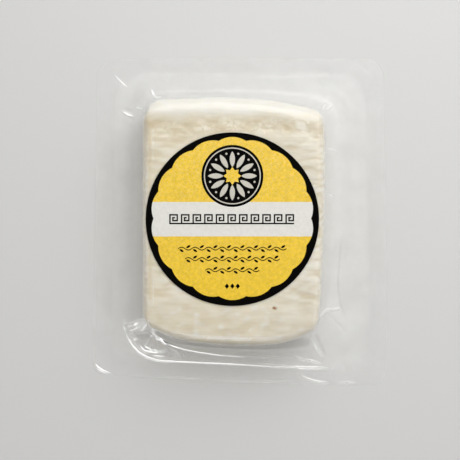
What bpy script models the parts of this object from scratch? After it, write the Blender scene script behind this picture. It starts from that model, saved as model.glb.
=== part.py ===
"""A block of halloumi sealed in clear film, with a round paper label on top.

The pack lies on its flat backing film with the label up. Units are metres, +Z is up, +X is to
the right and +Y is away from someone who reads the label. The origin is on the ground, under
the middle of the pack. There are four pieces, and each one is a closed solid:

  halloumi_block  the cheese, a soft block with rounded edges and bowed ends
  formed_film     the upper film, drawn down over the block, with its flare, folds and flange
  backing_film    the flat lower film that the upper one is sealed to
  label           the round sticker on top of the film
"""

import math

import bmesh
import bpy
from mathutils import Vector, noise

MM = 0.001

# The cut edge of the pack, as seen from above
PACK_WIDTH = 118.0 * MM  # at the near end
PACK_LENGTH = 131.0 * MM
PACK_CORNER = 8.0 * MM
PACK_TAPER = 0.03  # share of the width that is lost at the far end
NEAR_SKEW = 5.0 * MM  # how much further the near edge reaches at its right end

# The sealed flange, and the rolled line round the pocket inside it
FLANGE_WIDTH = 10.0 * MM  # at the two sides
END_SHARE = 0.78  # the flange is narrower at the ends, by this share
RIM_CORNER = 14.0 * MM
RIM_ROLL = 1.8 * MM  # half the width of the roll
RIM_HEIGHT = 1.1 * MM
RIM_PROFILE = ((1.0, 0.0), (0.45, 0.75), (0.0, 1.0), (-0.55, 0.6), (-1.0, 0.0))
CURL_NEAR = 2.2 * MM  # how far the flange's corners lift at the near end
CURL_FAR = 0.8 * MM
CURL_START = 1.70  # where a corner starts to lift: 1 is the middle of an edge, 2 the corner

# The cheese. Each pair of roundings is for the low and the high end of that axis.
BLOCK_CENTRE = Vector((-2.8 * MM, 0.5 * MM, 0.0))
BLOCK_WIDTH = 69.6 * MM
BLOCK_LENGTH = 95.6 * MM
BLOCK_HEIGHT = 21.4 * MM
X_ROUNDS = (2.6 * MM, 2.8 * MM)
Y_ROUNDS = (3.8 * MM, 5.8 * MM)
Z_ROUNDS = (2.5 * MM, 4.4 * MM)
RIGHT_BULGE = 0.8 * MM
RIGHT_TAPER = 2.3 * MM  # how far the right side is drawn in at the near end
RIGHT_TAPER_POWER = 1.3
FAR_BACK = 0.4 * MM
FAR_BOW = 3.3 * MM
FAR_SLANT = 1.1 * MM  # the far end is this much lower to the right, and higher to the left
FAR_TWIST = 1.2 * MM
FAR_CUT = 3.4 * MM  # how far the far left corner is pressed in
FAR_CUT_START = 0.84  # where that starts, as a share of the way to the left side
FAR_CUT_POWER = 1.5
NEAR_BOW = 7.6 * MM
NEAR_BOW_POWER = 3.0
NEAR_SLANT = 1.0 * MM

# The surface of the cheese
END_SAG = 0.7 * MM  # how far the top falls towards both ends
TROUGH_DEPTH = 0.7 * MM  # the dip between the far edge and the label
TROUGH_PLACE = 38.5 * MM
TROUGH_HALF_WIDTH = 3.0 * MM
LUMP_HEIGHT = 0.45 * MM
LUMP_SIZE = 9.0 * MM
LUMP_SEED = Vector((3.1, 7.7, 1.3))

# Sheets, and the gap that keeps neighbours apart
GAP = 0.3 * MM
FILM = 0.4 * MM
PAPER = 0.3 * MM

# The film between the block and the rim
LEAVE_HEIGHT = 7.0 * MM  # where the film leaves the side of the block
FLARE_SHARE = 0.55  # how much of the way to the rim the film takes to come down
FLARE_STEPS = 3
FLARE_POWER = 2.0
# Folds at the block's corners: direction from its middle and half width in degrees, height
FOLDS = (
    (-139.0, 4.0, 1.6 * MM),
    (-126.0, 4.0, 2.0 * MM),
    (-114.0, 3.5, 1.0 * MM),
    (-62.0, 4.0, 1.5 * MM),
    (-47.0, 4.5, 1.8 * MM),
    (49.0, 4.5, 1.4 * MM),
    (60.0, 4.0, 1.0 * MM),
    (121.0, 4.0, 1.0 * MM),
    (133.0, 4.5, 1.5 * MM),
)

# The label
LABEL_CENTRE = Vector((-3.3 * MM, 1.1 * MM, 0.0))
LABEL_RADIUS = 33.3 * MM
LABEL_SEGMENTS = 72
LABEL_RINGS = 4

# How finely the cheese is divided: closely where it shows, wider under the label
ROUND_STEPS = 3
X_SPACING = 4.0 * MM
Y_SPACING_OPEN = 2.6 * MM
Y_SPACING_COVERED = 6.0 * MM
Z_SPACING = 5.0 * MM

BLOCK_FOOT = FILM + GAP
SKIN_LEVEL = FILM + GAP  # underside of the formed film where it lies on the backing
SKIRT_STEP = 10.0 * MM  # rows of a skirt start this far apart, before they are laid out


def clear_scene():
    for old in list(bpy.data.objects):
        bpy.data.objects.remove(old)


def new_collection(name):
    made = bpy.data.collections.new(name)
    bpy.context.scene.collection.children.link(made)
    return made


def new_material(name, colour, roughness, alpha=1.0):
    material = bpy.data.materials.new(name)
    material.use_nodes = True
    shader = material.node_tree.nodes["Principled BSDF"]
    shader.inputs["Base Color"].default_value = (*colour, 1.0)
    shader.inputs["Roughness"].default_value = roughness
    shader.inputs["Metallic"].default_value = 0.0
    shader.inputs["Alpha"].default_value = alpha
    return material


def new_object(name, bm, material, collection):
    bmesh.ops.recalc_face_normals(bm, faces=bm.faces)
    mesh = bpy.data.meshes.new(name)
    bm.to_mesh(mesh)
    bm.free()
    mesh.materials.append(material)
    mesh.shade_smooth()
    mesh.set_sharp_from_angle(angle=math.radians(50))
    made = bpy.data.objects.new(name, mesh)
    collection.objects.link(made)
    return made


def thicken(made, thickness):
    """Gives an open sheet its thickness, on the side that its faces look to."""
    solid = made.modifiers.new("thickness", "SOLIDIFY")
    solid.thickness = thickness
    solid.offset = 1.0
    solid.use_even_offset = False


def clamp(value, low, high):
    return max(low, min(high, value))


def smooth_step(value):
    t = clamp(value, 0.0, 1.0)
    return t * t * (3.0 - 2.0 * t)


def axis_range(length):
    return -length / 2, length / 2


X_RANGE = axis_range(BLOCK_WIDTH)
Y_RANGE = axis_range(BLOCK_LENGTH)
Z_RANGE = (0.0, BLOCK_HEIGHT)


def round_cuts(ends, rounds):
    """Cuts that divide the rounded edge at each end of an axis into equal angles."""
    tangents = [math.tan(math.pi / 4 * i / ROUND_STEPS) for i in range(ROUND_STEPS)]
    low = [ends[0] + rounds[0] * (1.0 - t) for t in tangents]
    high = [ends[1] - rounds[1] * (1.0 - t) for t in tangents]
    return low + high


def even_cuts(start, end, spacing):
    """Cuts at about this spacing between two places, without the places themselves."""
    count = max(1, round((end - start) / spacing))
    return [start + (end - start) * i / count for i in range(1, count)]


def x_cuts():
    flat = even_cuts(X_RANGE[0] + X_ROUNDS[0], X_RANGE[1] - X_ROUNDS[1], X_SPACING)
    return round_cuts(X_RANGE, X_ROUNDS) + flat


def y_cuts():
    near = Y_RANGE[0] + Y_ROUNDS[0]
    far = Y_RANGE[1] - Y_ROUNDS[1]
    cover = LABEL_RADIUS * 0.9
    cuts = even_cuts(near, -cover, Y_SPACING_OPEN) + even_cuts(cover, far, Y_SPACING_OPEN)
    cuts += [-cover, cover] + even_cuts(-cover, cover, Y_SPACING_COVERED)
    return round_cuts(Y_RANGE, Y_ROUNDS) + cuts


def cut_box(bottom, top, z_cuts):
    """A box with the block's plan, cut along planes where its surface has to bend."""
    bm = bmesh.new()
    bmesh.ops.create_cube(bm, size=1.0)
    middle = Vector((0.0, 0.0, (bottom + top) / 2))
    for vert in bm.verts:
        vert.co.x *= BLOCK_WIDTH
        vert.co.y *= BLOCK_LENGTH
        vert.co.z = vert.co.z * (top - bottom) + middle.z
    for axis, cuts in enumerate((x_cuts(), y_cuts(), z_cuts)):
        normal = Vector((0.0, 0.0, 0.0))
        normal[axis] = 1.0
        for cut in cuts:
            everything = bm.verts[:] + bm.edges[:] + bm.faces[:]
            bmesh.ops.bisect_plane(bm, geom=everything, plane_co=normal * cut, plane_no=normal)
    return bm


def relief(x, y):
    """Height of the cheese's top against a flat one. It is smooth under the label."""
    along = y / Y_RANGE[1]
    from_label = math.hypot(x, y) - LABEL_RADIUS
    bare = smooth_step(from_label / LUMP_SIZE + 0.3)
    place = Vector((x, y, 0.0)) / LUMP_SIZE + LUMP_SEED
    trough = math.exp(-(((y - TROUGH_PLACE) / TROUGH_HALF_WIDTH) ** 2))
    uneven = 0.7 + 0.5 * noise.noise(place * 0.6)
    height = -END_SAG * along**4
    height -= TROUGH_DEPTH * trough * uneven
    height += LUMP_HEIGHT * bare * noise.noise(place)
    return height


def rounded_point(point, grown):
    """Moves a point of the plain box onto the box with rounded edges, grown outwards."""
    core = Vector()
    beyond = Vector()
    radius = Vector()
    axes = ((X_RANGE, X_ROUNDS), (Y_RANGE, Y_ROUNDS), (Z_RANGE, Z_ROUNDS))
    for i, (ends, rounds) in enumerate(axes):
        core[i] = clamp(point[i], ends[0] + rounds[0], ends[1] - rounds[1])
        past = point[i] - core[i]
        size = rounds[1] if past > 0 else rounds[0]
        beyond[i] = past / size
        radius[i] = size + grown
    if beyond.length > 0:
        beyond.normalize()
    return core + beyond * radius


def skin_point(point, grown=0.0):
    """A point of the cheese's surface, or of a skin that lies this far outside it."""
    x, y, z = rounded_point(point, grown)
    across = x / X_RANGE[1]
    along = y / Y_RANGE[1]
    height = smooth_step(z / BLOCK_HEIGHT)
    top = z + relief(x, y) * height
    if along > 0:
        pull = FAR_BACK + FAR_SLANT * across + FAR_BOW * across**2 + FAR_TWIST * across**3
        corner = clamp((-across - FAR_CUT_START) / (1.0 - FAR_CUT_START), 0.0, 1.0)
        pull += FAR_CUT * corner**FAR_CUT_POWER
    else:
        pull = NEAR_BOW * abs(across) ** NEAR_BOW_POWER - NEAR_SLANT * across
    right = max(0.0, across)
    near = clamp((1.0 - along) / 2, 0.0, 1.0)
    plan_x = x + RIGHT_BULGE * right * (1.0 - along**2)
    plan_x -= RIGHT_TAPER * right * near**RIGHT_TAPER_POWER
    return Vector((plan_x, y - along * pull, top + BLOCK_FOOT)) + BLOCK_CENTRE


def pack_point(u, v, inset):
    """A point of the pack's outline set in by this much. u and v go round a square of -1 to 1."""
    half_x = PACK_WIDTH / 2 - inset
    half_y = PACK_LENGTH / 2 - inset * END_SHARE
    inward = min(1.0, inset / FLANGE_WIDTH)
    corner = PACK_CORNER + (RIM_CORNER - PACK_CORNER) * inward
    core_x = clamp(u * half_x, corner - half_x, half_x - corner)
    core_y = clamp(v * half_y, corner - half_y, half_y - corner)
    beyond = Vector((u * half_x - core_x, v * half_y - core_y))
    if beyond.length > 0:
        beyond.normalize()
    x = core_x + beyond.x * corner
    y = core_y + beyond.y * corner
    x *= 1.0 - PACK_TAPER * (y / half_y + 1.0) / 2
    y += NEAR_SKEW * clamp(-y / half_y, 0.0, 1.0) * (1.0 - x / half_x) / 2
    return Vector((x, y, curl(x, y)))


def curl(x, y):
    """How far both films lift off the ground here, which they do only at the corners."""
    out = abs(x) / (PACK_WIDTH / 2) + abs(y) / (PACK_LENGTH / 2)
    share = clamp((out - CURL_START) / (2.0 - CURL_START), 0.0, 1.0)
    return (CURL_NEAR if y < 0 else CURL_FAR) * share**2


def fold_height(point):
    """Height of the folds in the loose film, in this direction from the block's middle."""
    direction = math.degrees(math.atan2(point.y - BLOCK_CENTRE.y, point.x - BLOCK_CENTRE.x))
    total = 0.0
    for angle, half_width, height in FOLDS:
        total += height * math.exp(-(((direction - angle) / half_width) ** 2))
    return total


def film_stations():
    """The rows of the film outside the block: how each one is placed, from the block outwards."""
    flare = [("flare", i / FLARE_STEPS, 0.0) for i in range(1, FLARE_STEPS + 1)]
    rim = [("edge", FLANGE_WIDTH + side * RIM_ROLL, up * RIM_HEIGHT) for side, up in RIM_PROFILE]
    flange = [("edge", FLANGE_WIDTH / 2 - RIM_ROLL / 2, 0.0), ("edge", 0.0, 0.0)]
    return flare + rim + flange


def skirt_point(point, station):
    """A point of the loose film: u and v say where round the pack, station how far out."""
    u = point.x / X_RANGE[1]
    v = point.y / Y_RANGE[1]
    kind, amount, lift = station
    if kind == "edge":
        return pack_point(u, v, amount) + Vector((0.0, 0.0, SKIN_LEVEL + lift))
    leave = skin_point(Vector((point.x, point.y, LEAVE_HEIGHT)), GAP)
    rim = pack_point(u, v, FLANGE_WIDTH + RIM_ROLL)
    place = leave.lerp(rim, FLARE_SHARE * amount)
    drop = (1.0 - amount) ** FLARE_POWER
    place.z = SKIN_LEVEL + (leave.z - SKIN_LEVEL) * drop
    place.z += fold_height(place) * math.sin(math.pi * clamp(amount, 0.0, 0.92))
    return place


def make_block(collection):
    z_cuts = round_cuts(Z_RANGE, Z_ROUNDS)
    z_cuts += even_cuts(Z_ROUNDS[0], BLOCK_HEIGHT - Z_ROUNDS[1], Z_SPACING)
    bm = cut_box(0.0, BLOCK_HEIGHT, z_cuts)
    for vert in bm.verts:
        vert.co = skin_point(vert.co)
    under = [face for face in bm.faces if face.normal.z < -0.999]
    edges = {edge for face in under for edge in face.edges}
    bmesh.ops.dissolve_limit(bm, angle_limit=math.radians(1), verts=[], edges=list(edges))
    cheese = new_material("halloumi", (0.86, 0.80, 0.68), 0.55)
    return new_object("halloumi_block", bm, cheese, collection)


def open_below(bm, hem):
    """Takes away the faces at the foot of a cut box, whose skirt ends at this height."""
    below = [face for face in bm.faces if face.calc_center_median().z < hem + SKIRT_STEP / 4]
    bmesh.ops.delete(bm, geom=below, context="FACES")


def make_formed_film(material, collection):
    """A box over the block, open below, whose skirt is laid out flat as the web and flange."""
    stations = film_stations()
    hem = LEAVE_HEIGHT - SKIRT_STEP * len(stations)
    z_cuts = [LEAVE_HEIGHT - SKIRT_STEP * i for i in range(len(stations))]
    z_cuts += [cut for cut in round_cuts(Z_RANGE, Z_ROUNDS) if cut > LEAVE_HEIGHT]
    bm = cut_box(hem, BLOCK_HEIGHT, z_cuts)
    open_below(bm, hem)
    for vert in bm.verts:
        row = round((LEAVE_HEIGHT - vert.co.z) / SKIRT_STEP)
        if vert.co.z > LEAVE_HEIGHT - SKIRT_STEP / 4:
            vert.co = skin_point(vert.co, GAP)
        else:
            vert.co = skirt_point(vert.co, stations[row - 1])
    film = new_object("formed_film", bm, material, collection)
    thicken(film, FILM)
    return film


def make_backing_film(material, collection):
    """The flat film below: one face in the middle, and the flange's rows round it."""
    insets = [FLANGE_WIDTH + RIM_ROLL, FLANGE_WIDTH, FLANGE_WIDTH / 2 - RIM_ROLL / 2, 0.0]
    hem = -SKIRT_STEP * (len(insets) - 1)
    bm = cut_box(hem, 0.0, [-SKIRT_STEP * i for i in range(1, len(insets) - 1)])
    open_below(bm, hem)
    middle = [face for face in bm.faces if face.calc_center_median().z > -SKIRT_STEP / 4]
    bmesh.ops.dissolve_faces(bm, faces=middle)
    for vert in bm.verts:
        row = round(-vert.co.z / SKIRT_STEP)
        u = vert.co.x / X_RANGE[1]
        v = vert.co.y / Y_RANGE[1]
        vert.co = pack_point(u, v, insets[row])
    film = new_object("backing_film", bm, material, collection)
    thicken(film, FILM)
    return film


def make_label(collection):
    """A disc of rings that follows the top of the film."""
    bm = bmesh.new()
    bmesh.ops.create_circle(bm, cap_ends=True, segments=LABEL_SEGMENTS, radius=LABEL_RADIUS)
    middle = bm.faces[:]
    for _ in range(LABEL_RINGS):
        bmesh.ops.inset_region(bm, faces=middle, thickness=LABEL_RADIUS / (LABEL_RINGS + 1))
    for vert in bm.verts:
        vert.co += LABEL_CENTRE
        on_block = vert.co - BLOCK_CENTRE
        vert.co.z = BLOCK_FOOT + BLOCK_HEIGHT + GAP + FILM + GAP + relief(on_block.x, on_block.y)
    paper = new_material("label paper", (0.83, 0.57, 0.09), 0.6)
    label = new_object("label", bm, paper, collection)
    thicken(label, PAPER)
    return label


def centre_on_origin(outline, pieces):
    """Brings the middle of this piece's extent over the origin, and the other pieces with it."""
    middle = Vector((0.0, 0.0, 0.0))
    for axis in (0, 1):
        reach = [vert.co[axis] for vert in outline.data.vertices]
        middle[axis] = (min(reach) + max(reach)) / 2
    for piece in pieces:
        piece.location = -middle


def main():
    clear_scene()
    pack = new_collection("halloumi pack")
    clear = new_material("clear film", (0.95, 0.95, 0.94), 0.12, alpha=0.25)
    block = make_block(pack)
    formed = make_formed_film(clear, pack)
    backing = make_backing_film(clear, pack)
    label = make_label(pack)
    centre_on_origin(backing, (block, formed, backing, label))


main()
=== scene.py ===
# %% [markdown]
# # A block of halloumi in its vacuum pack
#
# The object is a soft ivory block of cheese between two clear films. A round paper label lies
# on top. The pack is seen from straight above, as it lies on a table.
# Everything is in metres, in the frame of the solid model: +Z is up and +Y is the far end.

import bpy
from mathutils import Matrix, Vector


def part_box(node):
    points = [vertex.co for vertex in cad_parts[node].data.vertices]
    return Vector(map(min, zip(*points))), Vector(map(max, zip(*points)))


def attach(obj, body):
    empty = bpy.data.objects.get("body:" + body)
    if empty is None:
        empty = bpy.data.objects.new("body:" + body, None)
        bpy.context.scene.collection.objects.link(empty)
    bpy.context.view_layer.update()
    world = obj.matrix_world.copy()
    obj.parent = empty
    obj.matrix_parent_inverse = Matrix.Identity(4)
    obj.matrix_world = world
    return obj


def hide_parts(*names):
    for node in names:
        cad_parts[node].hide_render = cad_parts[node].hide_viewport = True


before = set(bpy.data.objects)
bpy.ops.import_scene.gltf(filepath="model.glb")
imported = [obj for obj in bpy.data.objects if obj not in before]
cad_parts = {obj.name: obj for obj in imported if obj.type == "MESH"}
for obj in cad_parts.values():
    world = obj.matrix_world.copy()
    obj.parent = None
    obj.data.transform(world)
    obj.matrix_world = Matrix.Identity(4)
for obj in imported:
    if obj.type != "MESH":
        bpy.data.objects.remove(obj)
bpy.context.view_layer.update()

# %% [markdown]
# ## Tools
#
# By hand, a piece is selected, opened in edit mode, and shaped on the faces that are picked.
# These small functions make the same moves, so that each step below stays short. An operator
# acts on all that is selected, so each of them first selects its own piece alone.

# %% Tools of the trade
import math

import bpy
import numpy as np
from mathutils import Vector, noise

MM = 0.001


def deselect_all():
    """Leaves nothing selected, because an operator acts on all that is."""
    if bpy.context.object and bpy.context.object.mode != "OBJECT":
        bpy.ops.object.mode_set(mode="OBJECT")
    bpy.ops.object.select_all(action="DESELECT")


def work_on(piece):
    deselect_all()
    piece.select_set(True)
    bpy.context.view_layer.objects.active = piece


def settle(piece):
    """Puts the piece's place and size into its mesh, so that its object sits at the origin."""
    work_on(piece)
    bpy.ops.object.transform_apply(location=True, rotation=True, scale=True)


def apply_all(piece):
    work_on(piece)
    for modifier in list(piece.modifiers):
        bpy.ops.object.modifier_apply(modifier=modifier.name)


def smooth(piece, angle):
    work_on(piece)
    bpy.ops.object.shade_smooth_by_angle(angle=math.radians(angle))


def say(piece):
    mesh = piece.data
    mesh.calc_loop_triangles()
    print(piece.name, len(mesh.loop_triangles), "triangles")


def points_of(piece):
    """The piece's vertices as rows of x, y and z."""
    flat = np.empty(len(piece.data.vertices) * 3)
    piece.data.vertices.foreach_get("co", flat)
    return flat.reshape(-1, 3)


def normals_of(piece):
    flat = np.empty(len(piece.data.vertices) * 3)
    piece.data.vertex_normals.foreach_get("vector", flat)
    return flat.reshape(-1, 3)


def put_points(piece, points):
    piece.data.vertices.foreach_set("co", points.ravel())
    piece.data.update()


# %% Tools for edit mode
def edit(piece, choose="FACE"):
    """Opens a piece in edit mode with nothing selected."""
    work_on(piece)
    bpy.ops.object.mode_set(mode="EDIT")
    bpy.ops.mesh.select_mode(type=choose)
    bpy.ops.mesh.select_all(action="DESELECT")


def done():
    bpy.ops.object.mode_set(mode="OBJECT")


def edit_faces(piece, wanted):
    """Opens a piece in edit mode with only those faces selected that this list says yes to."""
    edit(piece)
    done()
    for face, chosen in zip(piece.data.polygons, wanted):
        face.select = bool(chosen)
    bpy.ops.object.mode_set(mode="EDIT")


def delete_faces(piece, wanted):
    edit_faces(piece, wanted)
    bpy.ops.mesh.delete(type="FACE")
    done()


def slice_across(axis, cuts):
    """Cuts all of the mesh in edit mode by planes across this axis."""
    normal = [0.0, 0.0, 0.0]
    normal[axis] = 1.0
    for cut in cuts:
        place = [cut * n for n in normal]
        bpy.ops.mesh.select_all(action="SELECT")
        bpy.ops.mesh.bisect(plane_co=place, plane_no=normal)


def make_finer(piece, levels):
    """Divides the mesh and rounds it off with Subdivision Surface."""
    finer = piece.modifiers.new("finer", "SUBSURF")
    finer.levels = finer.render_levels = levels
    apply_all(piece)


# %% [markdown]
# ## The shape of the block
#
# The block was cut from a larger cheese and pressed soft, so no edge is sharp and no side is
# quite flat. The near end bows out most. A cube with a bevel could stand for it, but the film
# and the label have to follow the same shape. So the shape is written once, as a rule that
# moves any point of a plain box to its place, and each piece that lies on it uses the rule.

# %% Sizes of the block
BLOCK_CENTRE = Vector((-2.8 * MM, 0.5 * MM, 0.0))
X_RANGE = (-34.8 * MM, 34.8 * MM)
Y_RANGE = (-47.8 * MM, 47.8 * MM)
Z_RANGE = (0.0, 21.4 * MM)
# Radius of the rounded edge at the low end and at the high end of each axis
X_ROUNDS = (2.6 * MM, 2.8 * MM)
Y_ROUNDS = (3.8 * MM, 5.8 * MM)
Z_ROUNDS = (2.5 * MM, 4.4 * MM)
RIGHT_BULGE = 0.8 * MM
RIGHT_TAPER = 2.3 * MM
RIGHT_TAPER_POWER = 1.3
FAR_BACK = 0.4 * MM
FAR_BOW = 3.3 * MM
FAR_SLANT = 1.1 * MM
FAR_TWIST = 1.2 * MM
FAR_CUT = 3.4 * MM
FAR_CUT_START = 0.84
FAR_CUT_POWER = 1.5
NEAR_BOW = 7.6 * MM
NEAR_BOW_POWER = 3.0
NEAR_SLANT = 1.0 * MM
END_SAG = 0.7 * MM
TROUGH_DEPTH = 0.7 * MM
TROUGH_PLACE = 38.5 * MM
TROUGH_HALF_WIDTH = 3.0 * MM
LUMP_HEIGHT = 0.45 * MM
LUMP_SIZE = 9.0 * MM
LUMP_SEED = Vector((3.1, 7.7, 1.3))
LABEL_RADIUS = 33.3 * MM

PACK_LENGTH = 131.0 * MM
BLOCK_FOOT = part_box("halloumi_block")[0].z
PACK_FAR_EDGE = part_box("backing_film")[1].y
PACK_SHIFT = Vector((0.0, PACK_FAR_EDGE - PACK_LENGTH / 2, 0.0))
LABEL_CENTRE = Vector((-3.3 * MM, 1.1 * MM, 0.0)) + PACK_SHIFT
print("the block stands", round(1000 * BLOCK_FOOT, 2), "mm above the ground")

# %% The rule for the block
ROUND_STEPS = 3


def clamp(value, low, high):
    return max(low, min(high, value))


def smooth_step(value):
    t = clamp(value, 0.0, 1.0)
    return t * t * (3.0 - 2.0 * t)


def top_relief(x, y):
    """Height of the block's top against a flat one. It is smooth under the label."""
    along = y / Y_RANGE[1]
    from_label = math.hypot(x, y) - LABEL_RADIUS
    bare = smooth_step(from_label / LUMP_SIZE + 0.3)
    place = Vector((x, y, 0.0)) / LUMP_SIZE + LUMP_SEED
    trough = math.exp(-(((y - TROUGH_PLACE) / TROUGH_HALF_WIDTH) ** 2))
    uneven = 0.7 + 0.5 * noise.noise(place * 0.6)
    height = -END_SAG * along**4
    height -= TROUGH_DEPTH * trough * uneven
    height += LUMP_HEIGHT * bare * noise.noise(place)
    return height


def rounded_point(point, grown):
    """Moves a point of the plain box onto the box with rounded edges, grown outwards."""
    core = Vector()
    beyond = Vector()
    radius = Vector()
    axes = ((X_RANGE, X_ROUNDS), (Y_RANGE, Y_ROUNDS), (Z_RANGE, Z_ROUNDS))
    for i, (ends, rounds) in enumerate(axes):
        core[i] = clamp(point[i], ends[0] + rounds[0], ends[1] - rounds[1])
        past = point[i] - core[i]
        size = rounds[1] if past > 0 else rounds[0]
        beyond[i] = past / size
        radius[i] = size + grown
    if beyond.length > 0:
        beyond.normalize()
    return core + beyond * radius


def block_point(point, grown):
    """A point of the block's surface, or of a skin that lies this far outside it."""
    x, y, z = rounded_point(point, grown)
    across = x / X_RANGE[1]
    along = y / Y_RANGE[1]
    top = z + top_relief(x, y) * smooth_step(z / Z_RANGE[1])
    if along > 0:
        pull = FAR_BACK + FAR_SLANT * across + FAR_BOW * across**2 + FAR_TWIST * across**3
        corner = clamp((-across - FAR_CUT_START) / (1.0 - FAR_CUT_START), 0.0, 1.0)
        pull += FAR_CUT * corner**FAR_CUT_POWER
    else:
        pull = NEAR_BOW * abs(across) ** NEAR_BOW_POWER - NEAR_SLANT * across
    right = max(0.0, across)
    near = clamp((1.0 - along) / 2, 0.0, 1.0)
    plan_x = x + RIGHT_BULGE * right * (1.0 - along**2)
    plan_x -= RIGHT_TAPER * right * near**RIGHT_TAPER_POWER
    return Vector((plan_x, y - along * pull, top + BLOCK_FOOT)) + BLOCK_CENTRE + PACK_SHIFT


for corner in (Vector((X_RANGE[0], Y_RANGE[0], 0.0)), Vector((X_RANGE[1], Y_RANGE[1], 0.0))):
    print("corner of the block:", [round(1000 * c, 1) for c in block_point(corner, 0.0)], "mm")


# %% Boxes cut where they have to bend
def round_cuts(ends, rounds):
    """Cuts that divide the rounded edge at each end of an axis into equal angles."""
    tangents = [math.tan(math.pi / 4 * i / ROUND_STEPS) for i in range(ROUND_STEPS)]
    low = [ends[0] + rounds[0] * (1.0 - t) for t in tangents]
    high = [ends[1] - rounds[1] * (1.0 - t) for t in tangents]
    return low + high


def even_cuts(start, end, spacing):
    count = max(1, round((end - start) / spacing))
    return [start + (end - start) * i / count for i in range(1, count)]


def flat_cuts(ends, rounds, spacing):
    return even_cuts(ends[0] + rounds[0], ends[1] - rounds[1], spacing)


def cut_box(name, bottom, top, spacing, z_cuts):
    """A cube over the block's plan, cut in edit mode by planes across X, Y and Z."""
    deselect_all()
    middle = (0.0, 0.0, (bottom + top) / 2)
    size = (X_RANGE[1] - X_RANGE[0], Y_RANGE[1] - Y_RANGE[0], top - bottom)
    bpy.ops.mesh.primitive_cube_add(size=1.0, location=middle, scale=size)
    box = bpy.context.object
    box.name = name
    settle(box)
    edit(box)
    slice_across(0, round_cuts(X_RANGE, X_ROUNDS) + flat_cuts(X_RANGE, X_ROUNDS, spacing))
    slice_across(1, round_cuts(Y_RANGE, Y_ROUNDS) + flat_cuts(Y_RANGE, Y_ROUNDS, spacing))
    slice_across(2, z_cuts)
    done()
    return box


# %% [markdown]
# ## The cheese
#
# Halloumi is dense and a little shiny. Its surface keeps the fine lines of the cloth that it was
# pressed in, and dips and pits where the curd didn't close. The big form comes from the
# cage, Subdivision Surface makes it fine, and then each vertex is pushed in or out by
# noise, as with a sculpting brush. The finest lines are left to the material.

# %% The cheese's cage
CHEESE_GROWN = 0.25 * MM
CHEESE_SPACING = 2.4 * MM
WALL_SPACING = 5.0 * MM

z_cuts = round_cuts(Z_RANGE, Z_ROUNDS) + flat_cuts(Z_RANGE, Z_ROUNDS, WALL_SPACING)
cheese = cut_box("cheese", Z_RANGE[0], Z_RANGE[1], CHEESE_SPACING, z_cuts)
for vertex in cheese.data.vertices:
    vertex.co = block_point(vertex.co, CHEESE_GROWN)
make_finer(cheese, 2)
say(cheese)

# %% Where the cheese dips and rises
RIDGE_HEIGHT = 0.17 * MM
RIDGE_GRAIN = Vector((7.0, 1.4, 3.0)) * MM
FINE_HEIGHT = 0.05 * MM
FINE_GRAIN = Vector((2.4, 0.8, 1.2)) * MM
CURD_HEIGHT = 0.14 * MM
CURD_GRAIN = Vector((3.6, 2.6, 2.6)) * MM
TEAR_DEPTH = 0.30 * MM
TEAR_GRAIN = Vector((3.0, 1.8, 2.4)) * MM
TEAR_PLACE = 36.0 * MM
TEAR_HALF_WIDTH = 4.0 * MM
TEAR_WANDER = 1.8 * MM
TEAR_WAVE = 14.0 * MM
UNDER_LABEL_SHARE = 0.2
UNDER_LABEL_FADE = 4.0 * MM
WALL_HEIGHT = 12.0 * MM
SIDE_START = 12.0 * MM
SIDE_FADE = 10.0 * MM
# Where the pressed lines end and the curd starts, as shares of the block's half length
PRESSED_END = 0.74
CURD_START = 0.60
END_FADE = 0.14
# How much of the lines is left in the middle of the block and at its ends
MIDDLE_SHARE = 0.25
RIDGE_LEFT = 0.10
FINE_LEFT = 0.3
TEAR_CEILING = 0.05


def grain(place, size, seed=0.0):
    """Noise whose lumps have this size along each axis."""
    return noise.noise(Vector([place[i] / size[i] + seed for i in range(3)]))


def tear_at(x, y):
    """1 in the middle of the torn crease behind the far lip, 0 away from it."""
    wander = TEAR_WANDER * noise.noise(Vector((x / TEAR_WAVE, 0.0, 5.0)))
    return math.exp(-(((y - TEAR_PLACE - wander) / TEAR_HALF_WIDTH) ** 2))


def side_at(local):
    """0 in the middle of the block, 1 towards its long sides."""
    return smooth_step((abs(local.x) - SIDE_START) / SIDE_FADE)


def top_at(local):
    """0 at the foot of the block, 1 on its top."""
    return smooth_step(local.z / WALL_HEIGHT)


def bump_at(place):
    """How far the cheese stands out here: pressed ridges, curd near the near end, a torn crease."""
    local = place - BLOCK_CENTRE - PACK_SHIFT
    along = local.y / Y_RANGE[1]
    hidden = smooth_step((LABEL_RADIUS - math.hypot(local.x, local.y)) / UNDER_LABEL_FADE)
    open_share = 1.0 - (1.0 - UNDER_LABEL_SHARE) * hidden * top_at(local)
    pressed = smooth_step((PRESSED_END - abs(along)) / END_FADE)
    near = smooth_step((-along - CURD_START) / END_FADE)
    pressed *= MIDDLE_SHARE + (1.0 - MIDDLE_SHARE) * side_at(local)
    ridged = RIDGE_LEFT + (1.0 - RIDGE_LEFT) * pressed
    lined = FINE_LEFT + (1.0 - FINE_LEFT) * pressed
    out = RIDGE_HEIGHT * ridged * grain(local, RIDGE_GRAIN)
    out += FINE_HEIGHT * lined * grain(local, FINE_GRAIN, 3.0)
    out += CURD_HEIGHT * near * grain(local, CURD_GRAIN, 7.0)
    torn = min(TEAR_CEILING, grain(local, TEAR_GRAIN, 11.0))
    out += TEAR_DEPTH * tear_at(local.x, local.y) * torn * top_at(local)
    return out * open_share


def attribute(piece, name, values):
    """Keeps one number for each vertex in the mesh, for its material to read."""
    layer = piece.data.attributes.new(name, "FLOAT", "POINT")
    layer.data.foreach_set("value", np.asarray(values, dtype=np.float32))


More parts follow.
